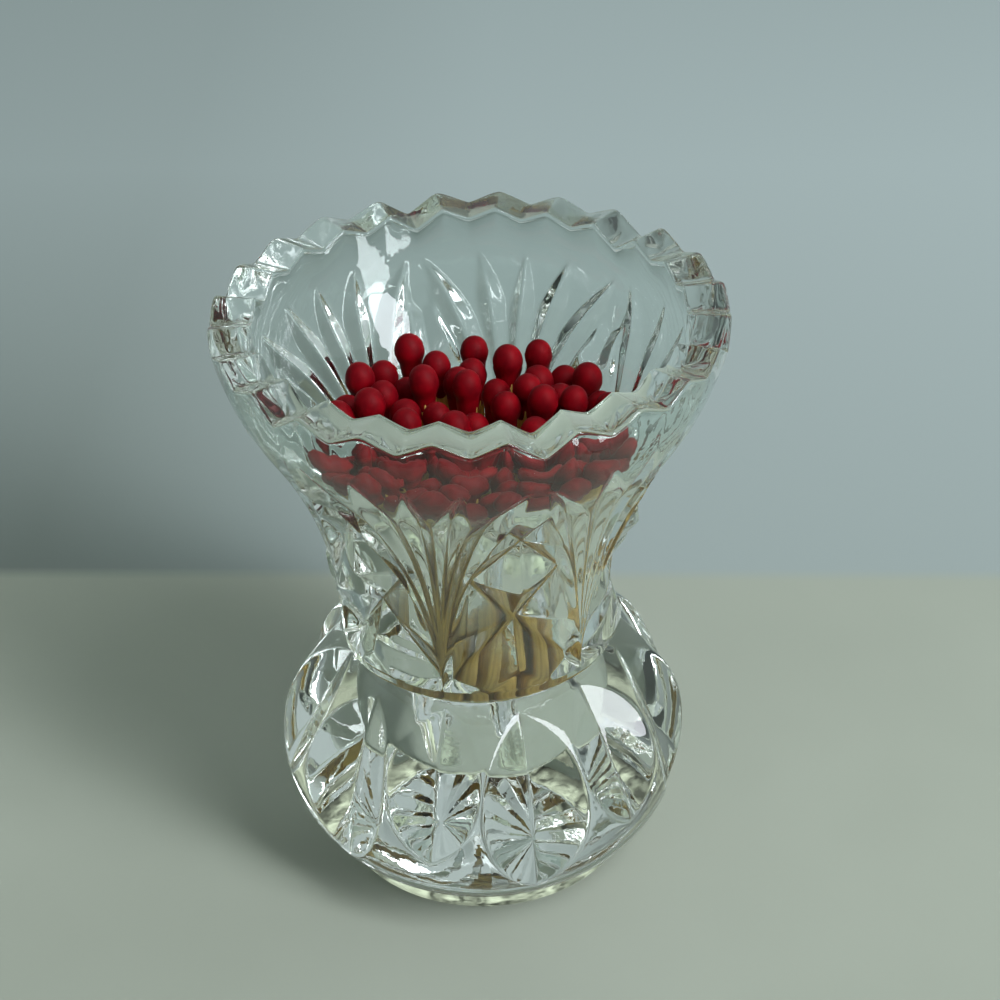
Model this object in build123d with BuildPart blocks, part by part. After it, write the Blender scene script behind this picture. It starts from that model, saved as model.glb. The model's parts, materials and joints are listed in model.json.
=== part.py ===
from build123d import *
import os
from math import atan, cos, degrees, hypot, radians, sin, sqrt, tan

# A clear pressed-glass toothpick holder, standing full of red-headed wooden matches.
# Millimetres and degrees. Z is up, the origin is the middle of the foot's underside,
# and one of the six cut windows faces -Y.

# Glass, heights
FOOT_BAND = 1.7  # upright edge of the foot
FOOT_HEIGHT = 2.6  # foot, up to the groove between it and the bulb
BULB_HEIGHT = 28.4  # bulb, from that groove to the pinch under the neck
NECK_HEIGHT = 46.0  # neck, from the pinch to the tips of the rim teeth
BULB_FOOT_RISE = 0.9  # lower edge of the bulb, above the foot
BELLY_RISE = 12.4  # widest level of the bulb, above the foot
COLLAR_RISE = 1.6  # lower edge of the neck, above the pinch
FLARE_RISE = 33.0  # level above the pinch where the neck turns from hollow to bellied
BASE_THICKNESS = 17.4  # glass under the well

# Glass, walls, and steps from one radius to the next. The well is as wide as the matches need.
NECK_WALL = 3.4  # at the collar and the waist
FLARE_WALL = 2.6
RIM_WALL = 5.2
FLARE_STEP = 6.7  # flare, over the waist halfway between it and the collar
RIM_STEP = 4.2  # rim, over the flare
PINCH_STEP = 1.8  # pinch, under the collar
BULB_STEP = 10.4  # bulb, over the pinch
BULB_FOOT_STEP = 5.3  # lower edge of the bulb, under its widest place
FOOT_STEP = 1.5  # foot, under the lower edge of the bulb
FOOT_GROOVE_STEP = 0.8  # bottom of the groove between foot and bulb, under the foot
WELL_CORNER = 1.6
FOOT_CHAMFER = 0.5

# Cut pattern: six windows, with a fan of leaves between each two
WINDOWS = 6
NOTCHES_PER_WINDOW = 4  # rim notches from one window to the next
FIRST_WINDOW = -90.0  # azimuth of the window that faces -Y
NOTCH_DEPTH = 1.5
WINDOW_NOTCH_DEPTH = 2.4  # the notch above each window is deeper
TALL_PETAL_RISE = 4.0  # V-cut petals under the windows: deepest place, above the belly
TALL_PETAL_DEPTH = 2.8
TALL_PETAL_SLOPE = 18.5  # slope of a petal's two sides
SHORT_PETAL_RISE = 7.0  # V-cut petals under the fans
SHORT_PETAL_DEPTH = 1.8
SHORT_PETAL_SLOPE = 15.0
TALL_PETAL_WHEEL = 300.0  # radius of the wheel that would make each cut
SHORT_PETAL_WHEEL = 60.0
LEAF_DEPTH = 1.2  # V-cut leaves of the fans
LEAF_SLOPE = 38.0
LEAF_WHEEL = 46.0
LEAF_RISE = 21.5  # deepest place of a leaf, above the collar
LEAF_LEANS = (-17.0, -8.0, 0.0, 8.0, 17.0)  # lean of each leaf in a fan
DIAGONAL_DEPTH = 1.0  # crossed V-cuts in each window
DIAGONAL_SLOPE = 35.0
DIAGONAL_LEAN = 42.0
CROSSING_RISES = (10.9, 23.6)  # levels where the diagonals cross, above the collar
CUTTER_SPARE = 1.6  # height of a cutter that stays outside the glass
PETAL_REACH = 12.0  # length of a cutter each way from the deepest place of its cut
LEAF_REACH = 23.0
DIAGONAL_REACH = 13.0

# Matches: square splints that all point at one spot under the floor of the well
STICK_WIDTH = 2.0
STICK_LENGTH = 43.0
STICK_GAP = 0.16  # between splints, at their lower ends
FLOOR_GAP = 0.15  # under the lowest corner of a splint
CORNER_GAP = 1.5  # between the outer splints and the rounded corner of the well
COLLAR_GAP = 1.4  # between the outer splints and the glass, at the collar
WAIST_GAP = 0.95  # the same at the waist
FOCUS_DEPTH = 62.0  # depth of that spot, under the floor of the well
HEAD_LENGTH = 5.2
HEAD_GRIP = 3.4  # length of splint inside the head
HEAD_GAPS = (0.48, 0.23, 0.38, 0.18)  # between rings of heads: the dip leaves several widths
HEAD_FULLEST = 0.56  # share of the head's length above its neck where it is widest
RISE_STEP = 0.55  # matches stand up to six steps above the floor, held by their neighbours
RISE_STEPS = 7
RISE_STRIDE = 3  # order in which neighbours take those steps
RING_COUNTS = (5, 11, 17, 24)  # matches in each ring round the middle one
RING_TURN = 11.0  # each ring of matches is turned by this much more
BARE_PLACE = 3  # the place in the outer ring where a match is missing

HALVINGS = 40  # steps of the search for a level on an arc

# Levels and radii that follow
foot_top = FOOT_HEIGHT
pinch_level = foot_top + BULB_HEIGHT
top_level = pinch_level + NECK_HEIGHT
belly_level = foot_top + BELLY_RISE
collar_level = pinch_level + COLLAR_RISE
flare_level = pinch_level + FLARE_RISE
waist_level = (collar_level + flare_level) / 2
stick_pitch = STICK_WIDTH + STICK_GAP
half_diagonal = STICK_WIDTH / sqrt(2)

# Rings of matches round a middle one, with a face of each splint towards the middle
ring_step = stick_pitch + STICK_GAP / 2
ring_radii = []
ring_radius = half_diagonal + STICK_WIDTH / 2 + STICK_GAP
for count in RING_COUNTS:
    ring_radius = max(ring_radius, STICK_WIDTH / 2 + stick_pitch / 2 / tan(radians(180 / count)))
    ring_radii.append(ring_radius)
    ring_radius += ring_step


def outer_reach(level):
    """Radius of the outer ring's outer corners at a level."""
    radius = ring_radii[-1] * (1 + (level - BASE_THICKNESS) / FOCUS_DEPTH)
    return hypot(radius + STICK_WIDTH / 2, STICK_WIDTH / 2)


# Radii of the glass, outwards from the matches
well_radius = outer_reach(BASE_THICKNESS) + CORNER_GAP + WELL_CORNER
collar_bore = outer_reach(collar_level) + COLLAR_GAP
waist_bore = outer_reach(waist_level) + WAIST_GAP
collar_radius = collar_bore + NECK_WALL
waist_radius = waist_bore + NECK_WALL
flare_radius = waist_radius + FLARE_STEP
rim_radius = flare_radius + RIM_STEP
mouth_radius = rim_radius - RIM_WALL
pinch_radius = collar_radius - PINCH_STEP
bulb_radius = pinch_radius + BULB_STEP
bulb_foot_radius = bulb_radius - BULB_FOOT_STEP
foot_radius = bulb_foot_radius - FOOT_STEP
foot_groove_radius = foot_radius - FOOT_GROOVE_STEP
window_pitch = 360 / WINDOWS
notch_pitch = window_pitch / NOTCHES_PER_WINDOW

# Outline of the glass: x is the radius and y is the height
with BuildLine() as bulb_line:
    bulb_side = ThreePointArc(
        (bulb_foot_radius, foot_top + BULB_FOOT_RISE),
        (bulb_radius, belly_level),
        (pinch_radius, pinch_level),
    )

with BuildLine() as neck_line:
    neck_side = ThreePointArc(
        (collar_radius, collar_level), (waist_radius, waist_level), (flare_radius, flare_level)
    )
    lip_side = TangentArc(neck_side @ 1, (rim_radius, top_level), tangent=neck_side % 1)

with BuildLine() as bore_line:
    bore_side = ThreePointArc(
        (collar_bore, collar_level),
        (waist_bore, waist_level),
        (flare_radius - FLARE_WALL, flare_level),
    )
    mouth_side = TangentArc(bore_side @ 1, (mouth_radius, top_level), tangent=bore_side % 1)


def cut_place(azimuth, point, tangent, lean, depth, wheel):
    """Place of a cutting wheel whose V edge is sunk in the glass at one point of its outline.

    The wheel's own Z is its axle and its own X points out of the glass. A wheel radius of
    nothing places a straight V bar, which runs along its own Y.
    """
    out = Vector(cos(radians(azimuth)), sin(radians(azimuth)), 0)
    side = Vector(-sin(radians(azimuth)), cos(radians(azimuth)), 0)
    along = out * tangent.X + Vector(0, 0, tangent.Y)
    normal = out * tangent.Y - Vector(0, 0, tangent.X)
    groove = along * cos(radians(lean)) + side * sin(radians(lean))
    seat = out * point.X + Vector(0, 0, point.Y)
    centre = seat + normal * (wheel - depth)
    return Location(Plane(origin=centre, x_dir=normal, z_dir=normal.cross(groove)))


def arc_share(side, level):
    """Share of an outline arc's length at which it passes a level."""
    low, high = 0.0, 1.0
    for _ in range(HALVINGS):
        middle = (low + high) / 2
        if (side @ middle).Y < level:
            low = middle
        else:
            high = middle
    return low


def edge_section(wheel, depth, slope):
    """V section of a cutter's edge: the axle is at x = 0 and the edge at x = wheel, pointing in."""
    height = depth + CUTTER_SPARE
    half = height / tan(radians(slope))
    return [(wheel, 0), (wheel - height, half), (wheel - height, -half)]


def wheel_start(wheel, reach):
    """Plane on which a wheel's edge section starts, so that the cutter reaches both ways alike."""
    return Plane.XZ.rotated((0, 0, 180 - degrees(reach / wheel)))


# Cutters, each only the stretch of a wheel or bar that meets the glass
with BuildPart() as tall_petal_cutter:
    with BuildSketch(wheel_start(TALL_PETAL_WHEEL, PETAL_REACH)):
        Polygon(*edge_section(TALL_PETAL_WHEEL, TALL_PETAL_DEPTH, TALL_PETAL_SLOPE), align=None)
    revolve(axis=Axis.Z, revolution_arc=2 * degrees(PETAL_REACH / TALL_PETAL_WHEEL))

with BuildPart() as short_petal_cutter:
    with BuildSketch(wheel_start(SHORT_PETAL_WHEEL, PETAL_REACH)):
        Polygon(*edge_section(SHORT_PETAL_WHEEL, SHORT_PETAL_DEPTH, SHORT_PETAL_SLOPE), align=None)
    revolve(axis=Axis.Z, revolution_arc=2 * degrees(PETAL_REACH / SHORT_PETAL_WHEEL))

with BuildPart() as leaf_cutter:
    with BuildSketch(wheel_start(LEAF_WHEEL, LEAF_REACH)):
        Polygon(*edge_section(LEAF_WHEEL, LEAF_DEPTH, LEAF_SLOPE), align=None)
    revolve(axis=Axis.Z, revolution_arc=2 * degrees(LEAF_REACH / LEAF_WHEEL))

with BuildPart() as diagonal_cutter:
    with BuildSketch(Plane.XZ.rotated((0, 0, 180))):
        Polygon(*edge_section(0, DIAGONAL_DEPTH, DIAGONAL_SLOPE), align=None)
    extrude(amount=DIAGONAL_REACH, both=True)


def notch_section(depth):
    """V section of a rim notch, from tooth tip to tooth tip at the mouth, and as far again above them."""
    half = 2 * mouth_radius * tan(radians(notch_pitch / 2))
    return [(0, -depth), (half, depth), (-half, depth)]


notch_plane = Plane.YZ.offset(mouth_radius - CUTTER_SPARE)
notch_length = RIM_WALL + 2 * CUTTER_SPARE
with BuildPart() as notch_cutter:
    with BuildSketch(notch_plane):
        Polygon(*notch_section(NOTCH_DEPTH), align=None)
    extrude(amount=notch_length)

with BuildPart() as window_notch_cutter:
    with BuildSketch(notch_plane):
        Polygon(*notch_section(WINDOW_NOTCH_DEPTH), align=None)
    extrude(amount=notch_length)

# Places of the cuts
window_azimuths = [FIRST_WINDOW + window_pitch * i for i in range(WINDOWS)]
fan_azimuths = [azimuth + window_pitch / 2 for azimuth in window_azimuths]

tall_share = arc_share(bulb_side, belly_level + TALL_PETAL_RISE)
tall_point = bulb_side @ tall_share
tall_tangent = bulb_side % tall_share
tall_petal_places = [
    cut_place(azimuth, tall_point, tall_tangent, 0, TALL_PETAL_DEPTH, TALL_PETAL_WHEEL)
    for azimuth in window_azimuths
]
short_share = arc_share(bulb_side, belly_level + SHORT_PETAL_RISE)
short_point = bulb_side @ short_share
short_tangent = bulb_side % short_share
short_petal_places = [
    cut_place(azimuth, short_point, short_tangent, 0, SHORT_PETAL_DEPTH, SHORT_PETAL_WHEEL)
    for azimuth in fan_azimuths
]

leaf_share = arc_share(neck_side, collar_level + LEAF_RISE)
leaf_point = neck_side @ leaf_share
leaf_places = []
for azimuth in fan_azimuths:
    for lean in LEAF_LEANS:
        swing = degrees(LEAF_RISE * tan(radians(lean)) / leaf_point.X)
        leaf_places.append(
            cut_place(azimuth + swing, leaf_point, neck_side % leaf_share, lean, LEAF_DEPTH, LEAF_WHEEL)
        )

diagonal_places = []
for rise in CROSSING_RISES:
    share = arc_share(neck_side, collar_level + rise)
    for azimuth in window_azimuths:
        for lean in (-DIAGONAL_LEAN, DIAGONAL_LEAN):
            diagonal_places.append(
                cut_place(azimuth, neck_side @ share, neck_side % share, lean, DIAGONAL_DEPTH, 0)
            )

notch_places = []
window_notch_places = []
for azimuth in window_azimuths:
    window_notch_places.append(Location((0, 0, top_level), (0, 0, azimuth)))
    for step in range(1, NOTCHES_PER_WINDOW):
        notch_places.append(Location((0, 0, top_level), (0, 0, azimuth + step * notch_pitch)))

# The glass, one pressed piece
with BuildPart() as glass_holder:
    with BuildSketch(Plane.XZ):
        with BuildLine():
            Polyline(
                (0, 0),
                (foot_radius, 0),
                (foot_radius, FOOT_BAND),
                (foot_groove_radius, foot_top),
                bulb_side @ 0,
            )
            add(bulb_side)
            Line(bulb_side @ 1, neck_side @ 0)
            add(neck_side)
            add(lip_side)
            Line(lip_side @ 1, mouth_side @ 1)
            add(mouth_side)
            add(bore_side)
            Polyline(bore_side @ 0, (well_radius, BASE_THICKNESS), (0, BASE_THICKNESS), (0, 0))
        make_face()
    revolve(axis=Axis.Z)
    well_floor = glass_holder.faces().filter_by(GeomType.PLANE).sort_by(Axis.Z)[1]
    fillet(well_floor.edges(), WELL_CORNER)
    chamfer(glass_holder.edges().group_by(Axis.Z)[0], FOOT_CHAMFER)
    with Locations(*tall_petal_places):
        add(tall_petal_cutter.part, mode=Mode.SUBTRACT)
    with Locations(*short_petal_places):
        add(short_petal_cutter.part, mode=Mode.SUBTRACT)
    with Locations(*diagonal_places):
        add(diagonal_cutter.part, mode=Mode.SUBTRACT)
    with Locations(*leaf_places):
        add(leaf_cutter.part, mode=Mode.SUBTRACT)
    with Locations(*notch_places):
        add(notch_cutter.part, mode=Mode.SUBTRACT)
    with Locations(*window_notch_places):
        add(window_notch_cutter.part, mode=Mode.SUBTRACT)

# Where each match stands: radius at the floor of the well, and azimuth
spots = [(0.0, 0.0)]
for ring, (count, ring_radius) in enumerate(zip(RING_COUNTS, ring_radii), start=1):
    for place in range(count):
        if count != RING_COUNTS[-1] or place != BARE_PLACE:
            spots.append((ring_radius, 360 * place / count + RING_TURN * ring))

# The splint and its dipped head, at each of the widths
with BuildPart() as stick:
    with BuildSketch():
        Rectangle(STICK_WIDTH, STICK_WIDTH)
    extrude(amount=STICK_LENGTH)

head_base = STICK_LENGTH - HEAD_GRIP
fullest_height = head_base + HEAD_LENGTH * HEAD_FULLEST
head_room = ring_step * (1 + fullest_height / FOCUS_DEPTH)
heads = []
for gap in HEAD_GAPS:
    with BuildPart() as head:
        with BuildSketch(Plane.XZ):
            with BuildLine():
                Line((0, head_base), (STICK_WIDTH / 2, head_base))
                Spline(
                    (STICK_WIDTH / 2, head_base),
                    ((head_room - gap) / 2, fullest_height),
                    (0, head_base + HEAD_LENGTH),
                    tangents=((1, 1), (-1, 0)),
                )
                Line((0, head_base + HEAD_LENGTH), (0, head_base))
            make_face()
        revolve(axis=Axis.Z)
        add(stick.part, mode=Mode.SUBTRACT)
    heads.append(head.part)

os.makedirs("parts", exist_ok=True)
glass_holder.part.label = "glass_holder"
export_step(glass_holder.part, "parts/glass_holder.step")

for number, (radius, azimuth) in enumerate(spots):
    lean = degrees(atan(radius / FOCUS_DEPTH))
    rise = RISE_STEP * (number * RISE_STRIDE % RISE_STEPS)
    lift = FLOOR_GAP + half_diagonal * sin(radians(lean)) + rise
    foot_point = radius * (1 + lift / FOCUS_DEPTH)
    place = (
        Location((0, 0, BASE_THICKNESS + lift), (0, 0, azimuth))
        * Location((foot_point, 0, 0), (0, lean, 0))
    )
    pieces = [stick.part.moved(place), heads[number % len(heads)].moved(place)]
    match = Compound(label=f"match_{number + 1:02d}", children=pieces)
    export_step(match, f"parts/{match.label}.step")
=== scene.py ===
"""Clear pressed-glass toothpick holder, standing full of red-headed wooden matches."""

import json
import logging
import math
from dataclasses import dataclass, field
from enum import Enum
from typing import Any

import bpy
import numpy as np
from mathutils import Matrix, Vector

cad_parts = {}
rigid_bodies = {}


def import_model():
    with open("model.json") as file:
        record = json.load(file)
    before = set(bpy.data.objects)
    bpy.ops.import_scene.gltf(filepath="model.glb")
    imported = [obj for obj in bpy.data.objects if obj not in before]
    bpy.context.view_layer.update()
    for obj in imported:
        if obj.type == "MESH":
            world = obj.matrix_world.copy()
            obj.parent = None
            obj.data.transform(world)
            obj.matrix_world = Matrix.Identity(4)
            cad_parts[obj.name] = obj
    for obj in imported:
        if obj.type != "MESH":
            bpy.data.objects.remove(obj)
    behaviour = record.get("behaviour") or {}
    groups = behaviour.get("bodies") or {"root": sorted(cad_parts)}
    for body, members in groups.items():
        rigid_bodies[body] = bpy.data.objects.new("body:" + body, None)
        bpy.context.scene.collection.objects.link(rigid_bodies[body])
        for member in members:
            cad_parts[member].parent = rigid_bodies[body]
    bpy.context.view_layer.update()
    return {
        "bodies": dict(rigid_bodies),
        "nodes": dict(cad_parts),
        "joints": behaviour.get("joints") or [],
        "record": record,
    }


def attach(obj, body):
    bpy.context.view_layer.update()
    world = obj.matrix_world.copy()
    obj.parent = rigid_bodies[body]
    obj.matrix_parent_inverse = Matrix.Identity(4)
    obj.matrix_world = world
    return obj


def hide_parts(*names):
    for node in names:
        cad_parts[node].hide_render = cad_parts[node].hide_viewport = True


logging.basicConfig(level=logging.INFO, format="%(name)s: %(message)s")
log = logging.getLogger("matches")

MM = 0.001


class Slot(Enum):
    """Material slots of the record."""

    GLASS = "clear_glass"
    WOOD = "match_wood"
    HEAD = "match_head"


def linear(code: str) -> tuple[float, float, float, float]:
    """Turn an sRGB hex colour into Blender's linear colour.

    Args:
        code: Six hex digits after a hash sign.

    Returns:
        Linear red, green, blue and an alpha of one.
    """
    values = [int(code[i : i + 2], 16) / 255 for i in (1, 3, 5)]
    red, green, blue = (
        v / 12.92 if v <= 0.04045 else ((v + 0.055) / 1.055) ** 2.4 for v in values
    )
    return (red, green, blue, 1.0)


def add_node(tree: Any, kind: str, inputs: dict[str, Any] | None = None, **settings: Any) -> Any:
    """Add one shader node, with its settings and its inputs.

    Args:
        tree: Node tree that takes the node.
        kind: Blender's name for the node type.
        inputs: Value or output socket for each named or numbered input.
        **settings: Properties of the node itself.

    Returns:
        The new node.
    """
    made = tree.nodes.new(kind)
    for name, value in settings.items():
        setattr(made, name, value)
    for name, value in (inputs or {}).items():
        if isinstance(value, bpy.types.NodeSocket):
            tree.links.new(value, made.inputs[name])
        else:
            made.inputs[name].default_value = value
    return made


def new_material(name: str) -> tuple[Any, Any, Any]:
    """Start a material with an empty tree and an output.

    Args:
        name: Name of the real material.

    Returns:
        The material, its node tree and its output node.
    """
    material = bpy.data.materials.new(name)
    material.use_nodes = True
    tree = material.node_tree
    tree.nodes.clear()
    return material, tree, add_node(tree, "ShaderNodeOutputMaterial")


def ramp_between(tree: Any, factor: Any, stops: dict[float, str]) -> Any:
    """Add a colour ramp.

    Args:
        tree: Node tree that takes the ramp.
        factor: Socket that drives it.
        stops: Hex colour at each position.

    Returns:
        The ramp's colour socket.
    """
    ramp = add_node(tree, "ShaderNodeValToRGB", {"Fac": factor})
    elements = ramp.color_ramp.elements
    while len(elements) < len(stops):
        elements.new(0.5)
    for element, (position, code) in zip(elements, sorted(stops.items())):
        element.position = position
        element.color = linear(code)
    return ramp.outputs["Color"]


@dataclass(frozen=True)
class GlassFinish:
    """Pressed soda glass, fire-polished, with the ripples and fine chill marks that the mould leaves."""

    name: str = "pressed_soda_glass"
    tint: str = "#F0F7F2"
    ior: float = 1.52
    roughness: float = 0.0
    ripple_mm: float = 7.0
    ripple_height_mm: float = 0.035
    chill_mm: float = 1.8
    chill_height_mm: float = 0.015

    def build(self) -> Any:
        """Make the material.

        Returns:
            The new material.
        """
        material, tree, output = new_material(self.name)
        place = add_node(tree, "ShaderNodeTexCoord").outputs["Object"]
        ripple = add_node(
            tree,
            "ShaderNodeTexNoise",
            {"Vector": place, "Scale": 1 / (self.ripple_mm * MM), "Detail": 1.0},
        )
        chill = add_node(
            tree,
            "ShaderNodeTexNoise",
            {"Vector": place, "Scale": 1 / (self.chill_mm * MM), "Detail": 2.0},
        )
        fine = add_node(
            tree,
            "ShaderNodeBump",
            {"Height": chill.outputs["Fac"], "Strength": 1.0, "Distance": self.chill_height_mm * MM},
        )
        bump = add_node(
            tree,
            "ShaderNodeBump",
            {
                "Height": ripple.outputs["Fac"],
                "Strength": 1.0,
                "Distance": self.ripple_height_mm * MM,
                "Normal": fine.outputs["Normal"],
            },
        )
        shader = add_node(
            tree,
            "ShaderNodeBsdfPrincipled",
            {
                "Base Color": linear(self.tint),
                "Roughness": self.roughness,
                "IOR": self.ior,
                "Transmission Weight": 1.0,
                "Normal": bump.outputs["Normal"],
            },
        )
        tree.links.new(shader.outputs["BSDF"], output.inputs["Surface"])
        return material


@dataclass(frozen=True)
class WoodFinish:
    """Aspen splints, sawn square and waxed, with long fine grain."""

    name: str = "aspen_splint"
    pale: str = "#E8BE66"
    dark: str = "#C29340"
    roughness: float = 0.55
    ior: float = 1.5
    grain_mm: float = 0.35
    grain_span: tuple[float, float] = (0.3, 0.62)
    grain_relief_mm: float = 0.05
    grain_strength: float = 0.4
    stretch: float = 0.05

    def build(self) -> Any:
        """Make the material.

        Returns:
            The new material.
        """
        material, tree, output = new_material(self.name)
        place = add_node(tree, "ShaderNodeTexCoord").outputs["Object"]
        along = add_node(
            tree, "ShaderNodeMapping", {"Vector": place, "Scale": (1.0, 1.0, self.stretch)}
        )
        grain = add_node(
            tree,
            "ShaderNodeTexNoise",
            {"Vector": along.outputs["Vector"], "Scale": 1 / (self.grain_mm * MM), "Detail": 3.0},
        )
        low, high = self.grain_span
        colour = ramp_between(tree, grain.outputs["Fac"], {low: self.dark, high: self.pale})
        bump = add_node(
            tree,
            "ShaderNodeBump",
            {
                "Height": grain.outputs["Fac"],
                "Strength": self.grain_strength,
                "Distance": self.grain_relief_mm * MM,
            },
        )
        shader = add_node(
            tree,
            "ShaderNodeBsdfPrincipled",
            {
                "Base Color": colour,
                "Roughness": self.roughness,
                "IOR": self.ior,
                "Normal": bump.outputs["Normal"],
            },
        )
        tree.links.new(shader.outputs["BSDF"], output.inputs["Surface"])
        return material


@dataclass(frozen=True)
class HeadFinish:
    """Red match compound, dipped and dried to a matte, slightly grainy skin."""

    name: str = "match_compound"
    deep: str = "#66000B"
    bright: str = "#960011"
    roughness: float = 0.55
    sheen: float = 0.12
    ior: float = 1.5
    grain_mm: float = 0.25
    grain_relief_mm: float = 0.04
    grain_strength: float = 0.5
    patch_mm: float = 2.2
    patch_span: tuple[float, float] = (0.3, 0.7)

    def build(self) -> Any:
        """Make the material.

        Returns:
            The new material.
        """
        material, tree, output = new_material(self.name)
        place = add_node(tree, "ShaderNodeTexCoord").outputs["Object"]
        patch = add_node(
            tree,
            "ShaderNodeTexNoise",
            {"Vector": place, "Scale": 1 / (self.patch_mm * MM), "Detail": 2.0},
        )
        grain = add_node(
            tree,
            "ShaderNodeTexNoise",
            {"Vector": place, "Scale": 1 / (self.grain_mm * MM), "Detail": 2.0},
        )
        low, high = self.patch_span
        colour = ramp_between(tree, patch.outputs["Fac"], {low: self.deep, high: self.bright})
        bump = add_node(
            tree,
            "ShaderNodeBump",
            {
                "Height": grain.outputs["Fac"],
                "Strength": self.grain_strength,
                "Distance": self.grain_relief_mm * MM,
            },
        )
        shader = add_node(
            tree,
            "ShaderNodeBsdfPrincipled",
            {
                "Base Color": colour,
                "Roughness": self.roughness,
                "IOR": self.ior,
                "Specular IOR Level": self.sheen,
                "Normal": bump.outputs["Normal"],
            },
        )
        tree.links.new(shader.outputs["BSDF"], output.inputs["Surface"])
        return material


@dataclass(frozen=True)
class TableFinish:
    """Painted table top, off-white, with the grey-blue of the far surface behind its back edge.

    The far surface carries painted shade at its foot and at the left. The uneven glow under the foot is
    painted light, an emission that stands in for the daylight that the solid glass gathers there.
    """

    name: str = "painted_table"
    near: str = "#B0B6A7"
    near_dark: str = "#AAB0A1"
    far: str = "#BCC8C6"
    # painted shade: far_shade and the shade_ settings darken the far surface at its foot and at the left
    far_shade: str = "#6E766C"
    shade_side_mm: tuple[float, float] = (-75.0, -10.0)
    shade_back_mm: float = 200.0
    shade_near: tuple[float, float] = (0.2, 0.65)
    shade_far: tuple[float, float] = (0.8, 1.0)
    mottle_mm: float = 60.0
    mottle_span: tuple[float, float] = (0.35, 0.65)
    edge_mm: float = 53.7
    edge_turn: float = -2.9
    # painted light: an emission glow on the table under the foot, broken into caustic streaks
    glow_mm: float = 19.0
    glow_soft_mm: float = 2.0
    glow: float = 0.75
    painted_caustic_mm: float = 4.0
    painted_caustic_span: tuple[float, float] = (0.35, 0.65)
    painted_caustic_light: tuple[float, float] = (0.2, 1.8)
    edge_soft_mm: float = 1.5
    roughness: float = 0.85
    sheen: float = 0.12

    def build(self, azimuth: float) -> Any:
        """Make the material.

        Args:
            azimuth: Camera azimuth in degrees, which the table's back edge lies square to.

        Returns:
            The new material.
        """
        material, tree, output = new_material(self.name)
        place = add_node(tree, "ShaderNodeTexCoord").outputs["Object"]
        mottle = add_node(
            tree,
            "ShaderNodeTexNoise",
            {"Vector": place, "Scale": 1 / (self.mottle_mm * MM), "Detail": 3.0},
        )
        low, high = self.mottle_span
        near = ramp_between(tree, mottle.outputs["Fac"], {low: self.near_dark, high: self.near})
        turn = math.radians(azimuth + self.edge_turn)
        back = add_node(
            tree,
            "ShaderNodeVectorMath",
            {0: place, 1: (-math.sin(turn), math.cos(turn), 0.0)},
            operation="DOT_PRODUCT",
        )
        edge = add_node(
            tree,
            "ShaderNodeMapRange",
            {
                "Value": back.outputs["Value"],
                "From Min": (self.edge_mm - self.edge_soft_mm) * MM,
                "From Max": (self.edge_mm + self.edge_soft_mm) * MM,
            },
        )
        across = add_node(
            tree,
            "ShaderNodeVectorMath",
            {0: place, 1: (math.cos(turn), math.sin(turn), 0.0)},
            operation="DOT_PRODUCT",
        )
        # painted shade on the far surface, darker towards its foot and towards the left
        painted_shade_by_side = [
            add_node(
                tree,
                "ShaderNodeMapRange",
                {
                    "Value": across.outputs["Value"],
                    "From Min": self.shade_side_mm[0] * MM,
                    "From Max": self.shade_side_mm[1] * MM,
                    "To Min": dark,
                    "To Max": light,
                },
            ).outputs["Result"]
            for dark, light in (self.shade_near, self.shade_far)
        ]
        lit = add_node(
            tree,
            "ShaderNodeMapRange",
            {
                "Value": back.outputs["Value"],
                "From Min": self.edge_mm * MM,
                "From Max": self.shade_back_mm * MM,
                "To Min": painted_shade_by_side[0],
                "To Max": painted_shade_by_side[1],
            },
        )
        far = add_node(
            tree,
            "ShaderNodeMix",
            {"Factor": lit.outputs["Result"], 6: linear(self.far_shade), 7: linear(self.far)},
            data_type="RGBA",
        )
        colour = add_node(
            tree,
            "ShaderNodeMix",
            {"Factor": edge.outputs["Result"], 6: near, 7: far.outputs[2]},
            data_type="RGBA",
        )
        from_middle = add_node(tree, "ShaderNodeVectorMath", {0: place}, operation="LENGTH")
        # painted light: emission under the foot stands in for the daylight that the glass gathers there
        painted_glow_mask = add_node(
            tree,
            "ShaderNodeMapRange",
            {
                "Value": from_middle.outputs["Value"],
                "From Min": self.glow_mm * MM,
                "From Max": (self.glow_mm - self.glow_soft_mm) * MM,
                "To Max": self.glow,
            },
        )
        painted_caustic = add_node(
            tree,
            "ShaderNodeTexNoise",
            {"Vector": place, "Scale": 1 / (self.painted_caustic_mm * MM), "Detail": 2.0, "Distortion": 2.0},
        )
        uneven = add_node(
            tree,
            "ShaderNodeMapRange",
            {
                "Value": painted_caustic.outputs["Fac"],
                "From Min": self.painted_caustic_span[0],
                "From Max": self.painted_caustic_span[1],
                "To Min": self.painted_caustic_light[0],
                "To Max": self.painted_caustic_light[1],
            },
        )
        glow = add_node(
            tree,
            "ShaderNodeMath",
            {0: painted_glow_mask.outputs["Result"], 1: uneven.outputs["Result"]},
            operation="MULTIPLY",
        )
        shader = add_node(
            tree,
            "ShaderNodeBsdfPrincipled",
            {
                "Base Color": colour.outputs[2],
                "Roughness": self.roughness,
                "Specular IOR Level": self.sheen,
                "Emission Color": colour.outputs[2],
                "Emission Strength": glow.outputs["Value"],
            },
        )
        tree.links.new(shader.outputs["BSDF"], output.inputs["Surface"])
        return material


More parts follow.
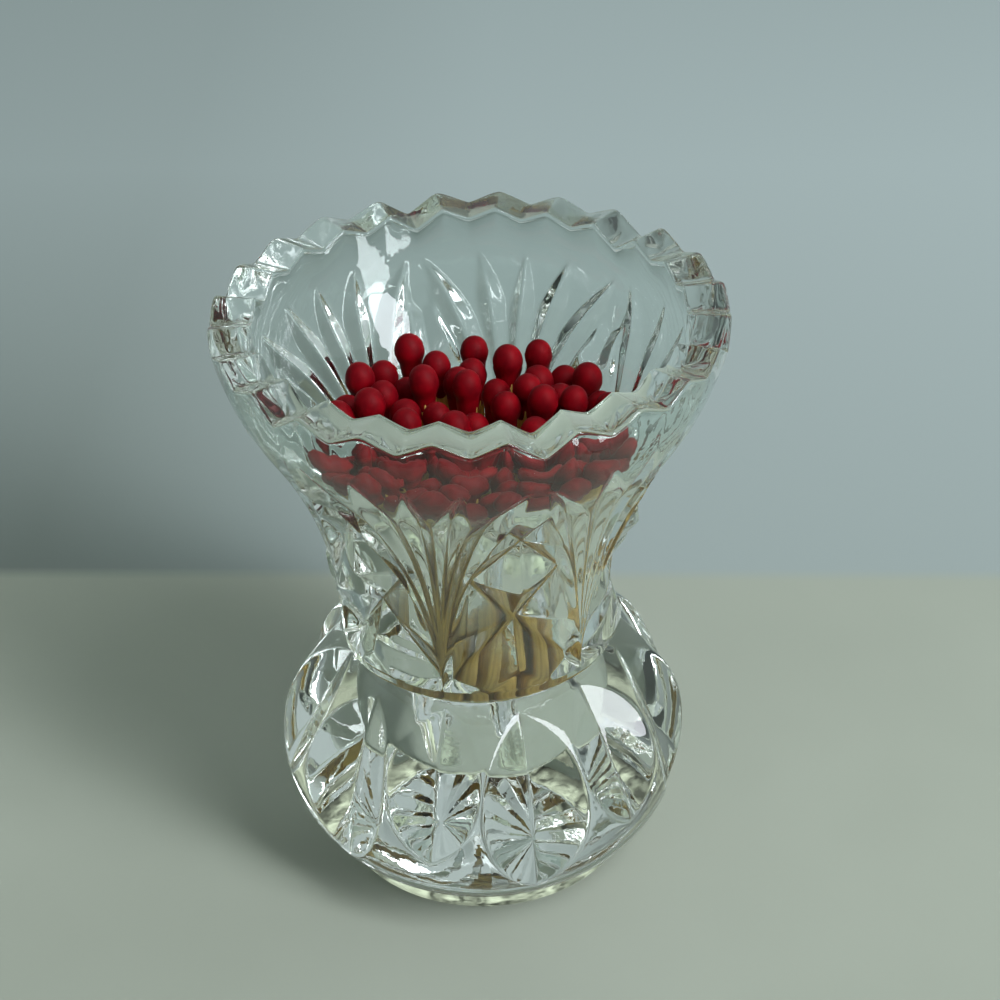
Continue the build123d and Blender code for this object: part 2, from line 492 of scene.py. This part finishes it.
def mesh_object(name: str, points: np.ndarray, faces: list[tuple[int, ...]], material: Any) -> Any:
    """Make a smooth-shaded mesh object.

    Args:
        name: Name of the piece.
        points: Corner points in metres.
        faces: Corner numbers of each face.
        material: Material of the whole piece.

    Returns:
        The new object, linked to the scene.
    """
    mesh = bpy.data.meshes.new(name)
    mesh.from_pydata(points.tolist(), [], faces)
    mesh.materials.append(material)
    mesh.polygons.foreach_set("use_smooth", [True] * len(mesh.polygons))
    mesh.validate()
    mesh.update()
    made = bpy.data.objects.new(name, mesh)
    bpy.context.scene.collection.objects.link(made)
    return made


def arc_through(a: np.ndarray, b: np.ndarray, c: np.ndarray, count: int) -> np.ndarray:
    """Points on the arc through three points.

    Args:
        a: Start.
        b: A point between.
        c: End.
        count: How many points, both ends among them.

    Returns:
        One point per row.
    """
    lhs = 2 * np.array([b - a, c - a])
    rhs = np.array([b @ b - a @ a, c @ c - a @ a])
    centre = np.linalg.solve(lhs, rhs)
    angles = np.unwrap([math.atan2(*(p - centre)[::-1]) for p in (a, b, c)])
    sweep = np.linspace(angles[0], angles[2], count)
    radius = np.linalg.norm(a - centre)
    return centre + radius * np.column_stack([np.cos(sweep), np.sin(sweep)])


def arc_onwards(before: np.ndarray, a: np.ndarray, c: np.ndarray, count: int) -> np.ndarray:
    """Points on the arc that carries on smoothly from one point to another.

    Args:
        before: A point just before the start, which gives the direction.
        a: Start.
        c: End.
        count: How many points, both ends among them.

    Returns:
        One point per row.
    """
    along = (a - before) / np.linalg.norm(a - before)
    normal = np.array([-along[1], along[0]])
    chord = c - a
    centre = a + normal * (chord @ chord) / (2 * (chord @ normal))
    start, end = np.unwrap([math.atan2(*(p - centre)[::-1]) for p in (a, c)])
    sweep = np.linspace(start, end, count)
    return centre + np.linalg.norm(a - centre) * np.column_stack([np.cos(sweep), np.sin(sweep)])


def straight(a: np.ndarray, c: np.ndarray, count: int) -> np.ndarray:
    """Points on a straight line.

    Args:
        a: Start.
        c: End.
        count: How many points, both ends among them.

    Returns:
        One point per row.
    """
    return a + np.linspace(0, 1, count)[:, None] * (c - a)


def soft_abs(x: np.ndarray, soft: float) -> np.ndarray:
    """Absolute value with a rounded bottom.

    Args:
        x: Values.
        soft: Half width of the rounding.

    Returns:
        Rounded values.
    """
    return np.sqrt(x * x + soft * soft) - soft


def soft_positive(x: np.ndarray, soft: float) -> np.ndarray:
    """Value where it is above nothing, with a rounded corner.

    Args:
        x: Values.
        soft: Half width of the rounding.

    Returns:
        Rounded values.
    """
    return 0.5 * (x + np.sqrt(x * x + soft * soft))


@dataclass
class GlassHolder:
    """The pressed glass: foot, petalled bulb, pinch, cut neck and sawtooth rim. Millimetres.

    A petal is given by the level of its deepest place, its reach each way along the bulb, its depth
    and the slope of its sides.
    """

    foot_radius: float = 19.2
    foot_band: float = 1.7
    foot_edge: float = 0.5
    foot_ring: float = 3.2
    foot_hollow: float = 0.6
    star_rays: int = 24
    star_slope: float = 0.24
    groove: tuple[float, float] = (18.4, 2.6)
    bulb_foot: tuple[float, float] = (20.7, 3.5)
    belly: tuple[float, float] = (26.0, 15.0)
    pinch: tuple[float, float] = (15.6, 31.0)
    collar: tuple[float, float] = (17.4, 32.6)
    waist: tuple[float, float] = (19.3, 48.3)
    flare: tuple[float, float] = (26.0, 64.0)
    rim: tuple[float, float] = (30.2, 77.0)
    neck_wall: float = 3.4
    flare_wall: float = 2.6
    rim_wall: float = 5.2
    well_radius: float = 13.4
    well_corner: float = 1.6
    base: float = 17.4
    lip_round: float = 0.5
    pole_radius: float = 0.4
    windows: int = 6
    window_azimuth: float = -90.0
    teeth_per_window: int = 4
    notch: float = 1.5
    window_notch: float = 2.4
    notch_from: float = 68.0
    notch_valley: float = 0.3
    notch_tip: float = 0.2
    columns: int = 720
    row_mm: float = 0.3
    smooth_mm: float = 0.12
    leaf_tips: tuple[float, ...] = (0.0, 12.5, 27.5)
    leaf_tops: tuple[float, ...] = (69.5, 69.5, 69.0)
    leaf_half: tuple[float, ...] = (1.8, 2.1, 2.2)
    leaf_slope: float = 0.65
    leaf_bend: float = 1.55
    leaf_waist: float = 0.74
    fan_level: float = 34.0
    crossings: tuple[float, ...] = (43.5, 56.5)
    diagonal_depth: float = 2.2
    diagonal_slope: float = 0.64
    pyramid_rise: float = 0.5
    window_top: float = 66.0
    window_fade: float = 3.0
    window_edge: float = 0.8
    collar_fade: float = 1.4
    tall_petal: tuple[float, float, float, float] = (20.2, 12.7, 3.2, 0.34)
    short_petal: tuple[float, float, float, float] = (23.5, 10.2, 2.5, 0.29)
    finish: GlassFinish = field(default_factory=GlassFinish)

    def outline(self) -> tuple[np.ndarray, list[str]]:
        """Trace the half section from the underside, up the outside, over the rim and down into the well.

        Returns:
            Radius and height of each row, and the zone of each row.
        """
        pair = np.array
        zones: list[str] = []
        rows: list[np.ndarray] = []

        def lay(zone: str, points: np.ndarray) -> None:
            rows.extend(points if not rows else points[1:])
            zones.extend([zone] * (len(points) if len(zones) == 0 else len(points) - 1))

        def steps(length: float) -> int:
            return max(3, round(length / self.row_mm) + 1)

        edge = self.foot_edge
        pole = self.pole_radius
        ring = self.foot_radius - self.foot_ring
        star_end = pair([ring - 2 * edge, self.foot_hollow])
        lay("star", straight(pair([pole, self.foot_hollow]), star_end, 40))
        lay("foot", straight(star_end, pair([ring, 0.0]), 5))
        lay("foot", straight(pair([ring, 0.0]), pair([self.foot_radius - edge, 0.0]), 5))
        lay("foot", straight(pair([self.foot_radius - edge, 0.0]), pair([self.foot_radius, edge]), 4))
        lay("foot", straight(pair([self.foot_radius, edge]), pair([self.foot_radius, self.foot_band]), 5))
        lay("foot", straight(pair([self.foot_radius, self.foot_band]), pair(self.groove), 5))
        lay("foot", straight(pair(self.groove), pair(self.bulb_foot), 6))
        bulb = arc_through(pair(self.bulb_foot), pair(self.belly), pair(self.pinch), steps(40.0))
        lay("bulb", bulb)
        lay("neck", straight(bulb[-1], pair(self.collar), 7))
        neck = arc_through(pair(self.collar), pair(self.waist), pair(self.flare), steps(33.0))
        lay("neck", neck)
        lip = arc_onwards(neck[-2], neck[-1], pair(self.rim), steps(13.7))
        lay("neck", lip[:-2])
        mouth = pair([self.rim[0] - self.rim_wall, self.rim[1]])
        turn = self.lip_round
        outer_end = pair([self.rim[0] - turn, self.rim[1]])
        outer_middle = pair(self.rim) - turn / 4
        inner_end = mouth + pair([turn, 0.0])
        inner_middle = mouth + pair([turn / 4, -turn / 4])
        lay("lip", arc_through(lip[-3], outer_middle, outer_end, 6))
        lay("lip", straight(outer_end, inner_end, 18))
        bore = arc_through(
            pair([self.collar[0] - self.neck_wall, self.collar[1]]),
            pair([self.waist[0] - self.neck_wall, self.waist[1]]),
            pair([self.flare[0] - self.flare_wall, self.flare[1]]),
            40,
        )
        inside = arc_onwards(bore[-2], bore[-1], mouth, 24)
        lay("lip", arc_through(inner_end, inner_middle, inside[-2], 6))
        lay("well", inside[::-1][1:])
        lay("well", bore[::-1])
        corner = self.well_corner
        low = pair([self.well_radius, self.base + corner])
        lay("well", straight(bore[0], low, 20))
        turned = np.linspace(0, math.pi / 2, 8)
        centre = pair([self.well_radius - corner, self.base + corner])
        lay("well", centre + corner * np.column_stack([np.cos(turned), -np.sin(turned)]))
        lay("well", straight(pair([self.well_radius - corner, self.base]), pair([pole, self.base]), 10))
        return np.array(rows), zones

    def fold(self, azimuth: np.ndarray) -> np.ndarray:
        """Angle from the nearest window, in degrees.

        Args:
            azimuth: Azimuths in degrees.

        Returns:
            Signed angles, up to half the pitch of the windows.
        """
        pitch = 360 / self.windows
        return (azimuth - self.window_azimuth + pitch / 2) % pitch - pitch / 2

    def bulb_depth(self, angle: np.ndarray, radius: float, height: float) -> np.ndarray:
        """Depth of the V-cut petals at one level of the bulb.

        Args:
            angle: Angle from the nearest window at each column.
            radius: Radius of the level.
            height: Height of the level.

        Returns:
            Depth under the plain outline.
        """
        half_pitch = 180 / self.windows
        depth = np.zeros_like(angle)
        for (level, reach, deepest, slope), from_middle in (
            (self.tall_petal, np.abs(angle)),
            (self.short_petal, half_pitch - np.abs(angle)),
        ):
            across = radius * np.radians(from_middle)
            along = self.bulb_length(height) - self.bulb_length(level)
            cut = deepest * (1 - (along / reach) ** 2) - slope * soft_abs(across, self.smooth_mm)
            depth = np.maximum(depth, soft_positive(cut - across**2 / (2 * radius), self.smooth_mm))
        return depth

    def bulb_length(self, height: float) -> float:
        """Length along the bulb's outline up to a level.

        Args:
            height: Height of the level.

        Returns:
            Length from the lower edge of the bulb.
        """
        low, belly, pinch = (np.array(p) for p in (self.bulb_foot, self.belly, self.pinch))
        arc = arc_through(low, belly, pinch, 80)
        lengths = np.concatenate([[0.0], np.cumsum(np.linalg.norm(np.diff(arc, axis=0), axis=1))])
        return float(np.interp(height, arc[:, 1], lengths))

    def neck_depth(self, angle: np.ndarray, radius: float, height: float) -> np.ndarray:
        """Depth of the leaves and window cuts at one level of the neck.

        Args:
            angle: Angle from the nearest window at each column.
            radius: Radius of the level.
            height: Height of the level.

        Returns:
            Depth under the plain outline.
        """
        half_pitch = 180 / self.windows
        from_fan = half_pitch - np.abs(angle)
        depth = np.zeros_like(angle)
        shares = [(height - self.fan_level) / (top - self.fan_level) for top in self.leaf_tops]
        centres = [
            radius * math.radians(tip) * max(0.0, share) ** self.leaf_bend
            for tip, share in zip(self.leaf_tips, shares)
        ]
        gaps = [(outer - inner) / 2 for inner, outer in zip(centres, centres[1:])]
        rooms = [gaps[0], min(gaps), gaps[-1]]
        arch = 0.0
        for centre, share, half, room in zip(centres, shares, self.leaf_half, rooms):
            if not 0 < share < 1:
                continue
            close = 1 - max(0.0, (share - self.leaf_waist) / (1 - self.leaf_waist)) ** 2
            wide = min(half, room) * close
            across = radius * np.radians(from_fan) - centre
            cut = self.leaf_slope * (wide - soft_abs(across, self.smooth_mm))
            depth = np.maximum(depth, soft_positive(cut, self.smooth_mm))
            arch = centre + wide
        low = self.crossings[0]
        if self.fan_level < height < self.leaf_tops[-1]:
            across = radius * np.radians(np.abs(angle))
            spread = radius * math.radians(half_pitch)
            inside = spread - arch - across
            lean = (low - self.fan_level) / (self.collar[0] * math.radians(half_pitch))
            away = [np.abs(np.abs(height - level) - lean * across) for level in self.crossings]
            nearest = np.minimum(*away) / math.hypot(1.0, lean)
            cut = self.diagonal_depth + self.pyramid_rise
            cut = cut - self.diagonal_slope * soft_abs(nearest, self.smooth_mm)
            facet = soft_positive(cut, self.smooth_mm) - self.pyramid_rise
            fade = min(1.0, max(0.0, (self.window_top - height) / self.window_fade))
            depth = depth + facet * np.clip(inside / self.window_edge, 0, 1) * fade
        return depth * min(1.0, max(0.0, (height - self.collar[1]) / self.collar_fade))

    def notch_drop(self, azimuth: np.ndarray, radius: float) -> np.ndarray:
        """How far the sawtooth rim lies under the tips of its teeth.

        Args:
            azimuth: Azimuths in degrees.
            radius: Radius on the rim.

        Returns:
            Drop at each azimuth.
        """
        pitch = 360 / self.windows / self.teeth_per_window
        turned = (azimuth - self.window_azimuth + pitch / 2) / pitch
        index = np.floor(turned)
        across = radius * np.radians((turned - index - 0.5) * pitch)
        half = (self.rim[0] - self.rim_wall) * math.tan(math.radians(pitch / 2))
        deep = np.where(index.astype(int) % self.teeth_per_window == 0, self.window_notch, self.notch)
        slope = deep / half
        drop = soft_positive(deep - slope * soft_abs(across, self.notch_valley), self.notch_tip)
        return drop - drop.min()

    def star_rise(self, azimuth: np.ndarray, radius: float) -> np.ndarray:
        """How far the rays of the star pressed under the foot rise into the glass.

        Args:
            azimuth: Azimuths in degrees.
            radius: Radius under the foot.

        Returns:
            Rise at each azimuth, which ends before the foot ring.
        """
        pitch = 360 / self.star_rays
        across = radius * np.radians(soft_abs((azimuth + pitch / 2) % pitch - pitch / 2, self.smooth_mm))
        tall = radius * math.radians(pitch / 2) - across
        to_ring = self.foot_radius - self.foot_ring - 2 * self.foot_edge - radius
        return np.minimum(self.star_slope * tall, to_ring)

    def build(self) -> Any:
        """Make the glass as one closed mesh.

        Returns:
            The glass object.
        """
        rows, zones = self.outline()
        azimuth = np.arange(self.columns) * 360 / self.columns
        angle = self.fold(azimuth)
        out = np.column_stack([np.cos(np.radians(azimuth)), np.sin(np.radians(azimuth))])
        tangent = np.gradient(rows, axis=0)
        tangent /= np.linalg.norm(tangent, axis=1)[:, None]
        normal = np.column_stack([tangent[:, 1], -tangent[:, 0]])
        points = []
        for (radius, height), (nr, nz), zone in zip(rows, normal, zones):
            depth = np.zeros(self.columns)
            if zone == "bulb":
                depth = self.bulb_depth(angle, radius, height)
            elif zone == "neck":
                depth = self.neck_depth(angle, radius, height)
            r = radius - nr * depth
            z = height - nz * depth
            share = np.clip((height - self.notch_from) / (self.rim[1] - self.notch_from), 0, 1) ** 2
            if zone == "star":
                z = z + self.star_rise(azimuth, radius)
            if zone in ("neck", "lip", "well"):
                z = z - self.notch_drop(azimuth, radius) * share
            points.append(np.column_stack([out * r[:, None], z]))
        count = len(points)
        grid = np.concatenate(points)
        poles = np.array([[0.0, 0.0, self.foot_hollow], [0.0, 0.0, self.base]])
        around = self.columns
        faces = []
        for i in range(count - 1):
            for j in range(around):
                k = (j + 1) % around
                faces.append((i * around + j, i * around + k, (i + 1) * around + k, (i + 1) * around + j))
        last = (count - 1) * around
        for j in range(around):
            k = (j + 1) % around
            faces.append((count * around, k, j))
            faces.append((count * around + 1, last + j, last + k))
        log.info("glass: %d rows, %d faces", count, len(faces))
        every = np.concatenate([grid, poles]) * MM
        return mesh_object("pressed_glass", every, faces, self.finish.build())

    def dress(self) -> Any:
        """Build the glass, hang it on its body and let it stand for the CAD node.

        Returns:
            The glass object.
        """
        glass = self.build()
        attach(glass, "holder")
        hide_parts("glass_holder")
        return glass


@dataclass
class Match:
    """One match: a square sawn splint and its dipped head. Millimetres."""

    name: str
    axis: Vector
    number: int
    width: float = 2.0
    edge: float = 0.12
    foot_slack: float = 0.01
    head_length: float = 6.2
    head_width: float = 3.6
    head_spread: tuple[float, float] = (0.94, 1.06)
    length_spread: tuple[float, float] = (0.94, 1.04)
    head_cover: float = 1.8
    ball_share: float = 2.25
    sleeve: float = 1.42
    sleeve_close: float = 0.25
    blend: int = 6
    skew: float = 0.2
    waves: int = 6
    wave_turn: float = 1.6
    lumps: float = 0.09
    levels: int = 9
    rings: int = 26
    sides: int = 28

    def place(self) -> tuple[Matrix, float]:
        """Find where the CAD match stands.

        Returns:
            Frame at the splint's lower end with its own Z along the match, and its length in metres.
        """
        cad = np.array([v.co for v in bpy.data.objects[self.name].data.vertices])
        along = np.array(self.axis)
        level = cad @ along
        low = cad[level < level.min() + self.foot_slack * MM]
        foot = low.mean(axis=0)
        side = low[0] - foot
        side /= np.linalg.norm(side)
        square = Matrix.Rotation(math.radians(45), 3, self.axis) @ Vector(side)
        third = self.axis.cross(square)
        frame = Matrix((square, third, self.axis)).transposed().to_4x4()
        frame.translation = Vector(foot)
        return frame, float(level.max() - level.min())

    def splint(self, length: float, material: Any) -> Any:
        """Make the splint, a square bar with worn corners.

        Args:
            length: Length in metres.
            material: Its wood.

        Returns:
            The splint object.
        """
        half = self.width / 2
        worn = self.edge
        section = [
            (half - worn, -half), (half, -half + worn), (half, half - worn), (half - worn, half),
            (-half + worn, half), (-half, half - worn), (-half, -half + worn), (-half + worn, -half),
        ]
        levels = np.linspace(0, length / MM, self.levels)
        points = [(x, y, z) for z in levels for x, y in section]
        n = len(section)
        faces: list[tuple[int, ...]] = [tuple(reversed(range(n)))]
        for i in range(len(levels) - 1):
            for j in range(n):
                k = (j + 1) % n
                faces.append((i * n + j, i * n + k, (i + 1) * n + k, (i + 1) * n + j))
        faces.append(tuple(range((len(levels) - 1) * n, len(levels) * n)))
        return mesh_object(f"{self.name}_splint", np.array(points) * MM, faces, material)

    def head(self, length: float, material: Any) -> Any:
        """Make the dipped head, a lumpy drop that no two matches share.

        Args:
            length: Length of the whole match in metres.
            material: Its compound.

        Returns:
            The head object.
        """
        rng = np.random.default_rng(self.number)
        wide = self.head_width * rng.uniform(*self.head_spread) / 2
        top = length / MM
        tall = self.head_length * rng.uniform(*self.length_spread)
        waves = rng.normal(size=(self.waves, 3))
        phases = rng.random(self.waves) * 2 * math.pi
        skew = (rng.random(2) - 0.5) * self.skew
        ball = wide * self.ball_share
        points = []
        for i in range(1, self.rings):
            t = math.pi * i / self.rings
            up = -math.cos(t)
            below = tall * (1 - up) / 2
            round_part = wide * math.sqrt(max(0.0, 1 - (2 * below / ball - 1) ** 2))
            sleeve = self.sleeve * math.sin(t) ** self.sleeve_close if below > ball / 2 else 0.0
            girth = (round_part**self.blend + sleeve**self.blend) ** (1 / self.blend)
            for j in range(self.sides):
                a = 2 * math.pi * j / self.sides
                spot = np.array([math.cos(a) * math.sin(t), math.sin(a) * math.sin(t), up])
                lump = 1 + self.lumps * float(np.sin(self.wave_turn * waves @ spot + phases).mean())
                lift = (0.5 + 0.5 * up) ** 2
                points.append((
                    girth * lump * math.cos(a) + skew[0] * lift,
                    girth * lump * math.sin(a) + skew[1] * lift,
                    top - below,
                ))
        n = self.sides
        bottom = len(points)
        points += [(0.0, 0.0, top - tall), (skew[0], skew[1], top)]
        faces: list[tuple[int, ...]] = []
        for i in range(self.rings - 2):
            for j in range(n):
                k = (j + 1) % n
                faces.append((i * n + j, i * n + k, (i + 1) * n + k, (i + 1) * n + j))
        last = (self.rings - 2) * n
        for j in range(n):
            k = (j + 1) % n
            faces.append((bottom, k, j))
            faces.append((bottom + 1, last + j, last + k))
        return mesh_object(f"{self.name}_head", np.array(points) * MM, faces, material)

    def dress(self, wood: Any, compound: Any) -> None:
        """Build both pieces where the CAD match stands and hang them on its body.

        Args:
            wood: Material of the splint.
            compound: Material of the head.
        """
        frame, length = self.place()
        splint = self.splint(length - self.head_cover * MM, wood)
        head = self.head(length, compound)
        for piece in (splint, head):
            piece.matrix_world = frame
            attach(piece, self.name)
        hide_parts(self.name)


@dataclass
class Studio:
    """Pale table, soft daylight from the right and the photo's camera. Millimetres and degrees."""

    azimuth: float = -15.0
    elevation: float = 33.9
    distance: float = 268.89
    roll: float = -1.54
    lens: float = 79.2
    aim_side: float = 2.95
    aim_height: float = 49.9
    table: TableFinish = field(default_factory=TableFinish)
    shade: str = "#262C2B"
    sky: str = "#939E9D"
    daylight: str = "#BCC7C8"
    sky_strength: float = 0.95
    sky_stops: tuple[float, float, float] = (0.16, 0.55, 0.85)
    day_from: tuple[float, float, float] = (0.8, 0.45, 0.4)
    window_colour: str = "#F4F8FF"
    window_place: tuple[float, float, float] = (460.0, -370.0, 500.0)
    window_size: tuple[float, float] = (220.0, 900.0)
    window_power: float = 6.0
    window_aim: float = 40.0
    table_half: float = 2500.0
    bounces: int = 32

    def camera(self) -> None:
        """Place the camera as the photo's was."""
        a = math.radians(self.azimuth)
        e = math.radians(self.elevation)
        out = Vector((math.sin(a) * math.cos(e), -math.cos(a) * math.cos(e), math.sin(e)))
        right = Vector((math.cos(a), math.sin(a), 0.0))
        up = out.cross(right)
        aim = right * self.aim_side * MM + Vector((0, 0, self.aim_height * MM))
        r = math.radians(self.roll)
        turned_right = right * math.cos(r) + up * math.sin(r)
        turned_up = up * math.cos(r) - right * math.sin(r)
        data = bpy.data.cameras.new("photo_camera")
        data.lens = self.lens
        data.sensor_width = 36.0
        data.clip_start = 0.01
        data.dof.use_dof = False
        camera = bpy.data.objects.new("photo_camera", data)
        frame = Matrix((turned_right, turned_up, out)).transposed().to_4x4()
        frame.translation = aim + out * self.distance * MM
        camera.matrix_world = frame
        bpy.context.scene.collection.objects.link(camera)
        bpy.context.scene.camera = camera

    def as_seen(self, direction: tuple[float, float, float]) -> Vector:
        """Turn a direction given as the camera sees it, right, back and up, into the scene's own.

        Args:
            direction: Shares or lengths to the right, to the back and up.

        Returns:
            The same direction in the frame of the part.
        """
        return Matrix.Rotation(math.radians(self.azimuth), 3, "Z") @ Vector(direction)

    def window(self) -> None:
        """Add the window, one soft panel of light that faces the glass."""
        data = bpy.data.lights.new("window", "AREA")
        data.shape = "ELLIPSE"
        data.size, data.size_y = (side * MM for side in self.window_size)
        data.energy = self.window_power
        data.color = linear(self.window_colour)[:3]
        lamp = bpy.data.objects.new("window", data)
        lamp.location = self.as_seen(self.window_place) * MM
        towards = Vector((0, 0, self.window_aim * MM)) - lamp.location
        lamp.rotation_euler = towards.to_track_quat("-Z", "Y").to_euler()
        bpy.context.scene.collection.objects.link(lamp)

    def build(self) -> None:
        """Make the table, the light and the camera."""
        half = self.table_half * MM
        corners = [(-half, -half), (half, -half), (half, half), (-half, half)]
        points = np.array([(x, y, 0.0) for x, y in corners])
        table = mesh_object("table", points, [(0, 1, 2, 3)], self.table.build(self.azimuth))
        world = bpy.data.worlds.new("room")
        world.use_nodes = True
        tree = world.node_tree
        tree.nodes.clear()
        towards = add_node(tree, "ShaderNodeTexCoord").outputs["Generated"]
        side = self.as_seen(self.day_from).normalized()
        facing = add_node(
            tree, "ShaderNodeVectorMath", {0: towards, 1: tuple(side)}, operation="DOT_PRODUCT"
        )
        share = add_node(
            tree,
            "ShaderNodeMapRange",
            {"Value": facing.outputs["Value"], "From Min": -1.0, "From Max": 1.0},
        )
        stops = dict(zip(self.sky_stops, (self.shade, self.sky, self.daylight)))
        room = ramp_between(tree, share.outputs["Result"], stops)
        sky = add_node(tree, "ShaderNodeBackground", {"Color": room, "Strength": self.sky_strength})
        output = add_node(tree, "ShaderNodeOutputWorld")
        tree.links.new(sky.outputs["Background"], output.inputs["Surface"])
        bpy.context.scene.world = world
        bpy.context.scene.view_settings.view_transform = "Standard"
        paths = bpy.context.scene.cycles
        paths.max_bounces = self.bounces
        paths.transmission_bounces = self.bounces
        paths.glossy_bounces = self.bounces
        self.window()
        self.camera()


def main() -> None:
    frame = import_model()
    GlassHolder().dress()
    wood = WoodFinish().build()
    compound = HeadFinish().build()
    joints = frame["record"]["behaviour"]["joints"]
    for number, joint in enumerate(joints):
        Match(joint["child"], Vector(joint["axis"]).normalized(), number).dress(wood, compound)
    Studio().build()


if __name__ == "__main__":
    main()
